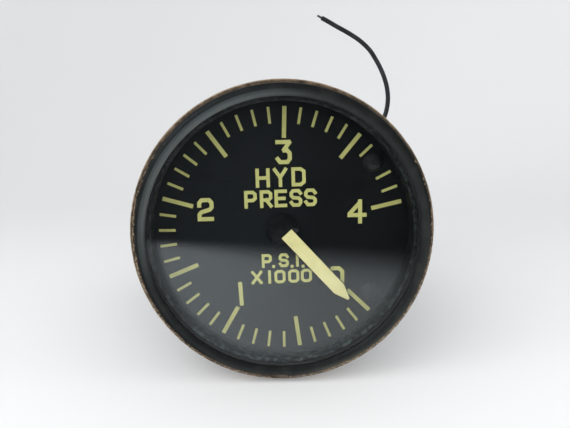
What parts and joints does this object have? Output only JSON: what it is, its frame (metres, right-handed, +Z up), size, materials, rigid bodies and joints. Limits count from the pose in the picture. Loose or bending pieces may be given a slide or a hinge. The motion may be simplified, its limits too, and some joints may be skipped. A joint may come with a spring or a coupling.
{
  "type": "panel pressure gauge",
  "caption": "Round clamp-mounted hydraulic pressure gauge with a glass front, a luminous dial and pointer, a rear connector and a short lead.",
  "frame": {"origin": "on the case axis, in the panel plane, where the back of the rim seats", "axes": "+Y from the dial into the panel along the case axis, +X to the reader's right, +Z up"},
  "size_m": [0.0557, 0.076, 0.066],
  "materials": {
    "black_enamel": "worn black enamel, satin",
    "worn_brass": "tarnished brass with rubbed edges",
    "glass": "clear, polished",
    "rubber": "matt",
    "dial_black": "matt black paint",
    "lume_paint": "aged luminous paint",
    "pointer_lume": "aged luminous paint, cream",
    "hub_black": "glossy black enamel",
    "screw_black": "blackened steel",
    "steel": "turned",
    "aluminium": "turned",
    "iron_sheet": "stacked sheet, oiled",
    "copper_wire": "enamelled copper wire",
    "brass": "turned",
    "phenolic": "moulded, dark red brown",
    "insert_black": "moulded",
    "olive_shell": "olive drab plating",
    "contact_gold": "gold plated",
    "wire_insulation": "grey black insulation",
    "tinned_wire": "tinned strands"
  },
  "bodies": {
    "gauge_body": {"case_body": "black_enamel", "rim_flange": "worn_brass", "bezel_ring": "black_enamel", "rim_key": "worn_brass", "cover_glass": "glass", "glass_gasket": "rubber", "spacer_ring": "dial_black", "dial_plate": "dial_black", "dial_graduations": "lume_paint", "dial_numerals": "lume_paint", "dial_legend": "lume_paint", "dial_screws": "screw_black", "dial_posts": "aluminium", "front_plate": "aluminium", "plate_screws": "steel", "motor_screws": "steel", "stop_pin": "steel", "motor_housing": "aluminium", "front_bell": "aluminium", "rear_bell": "aluminium", "front_bearing": "brass", "rear_bearing": "brass", "stator_core": "iron_sheet", "stator_winding": "copper_wire", "brush_block": "phenolic", "slip_brushes": "brass", "rear_cover": "black_enamel", "cover_screws": "steel", "connector_shell": "olive_shell", "connector_insert": "insert_black", "connector_pins": "contact_gold", "connector_screws": "steel", "lead_grommet": "rubber", "lead_wire": "wire_insulation", "wire_core": "tinned_wire"},
    "pointer_and_rotor": {"pointer_blade": "hub_black", "pointer_strip": "pointer_lume", "pointer_hub": "hub_black", "rotor_shaft": "steel", "stop_arm": "brass", "rotor_core": "iron_sheet", "rotor_winding": "copper_wire", "slip_ring_hub": "phenolic", "slip_rings": "brass"}
  },
  "joints": [
    {"name": "pointer_turn", "type": "hinge", "parent": "gauge_body", "child": "pointer_and_rotor", "pos_m": [0, 0, 0], "axis": [0, 1, 0], "range_deg": [-9, 306]}
  ]
}
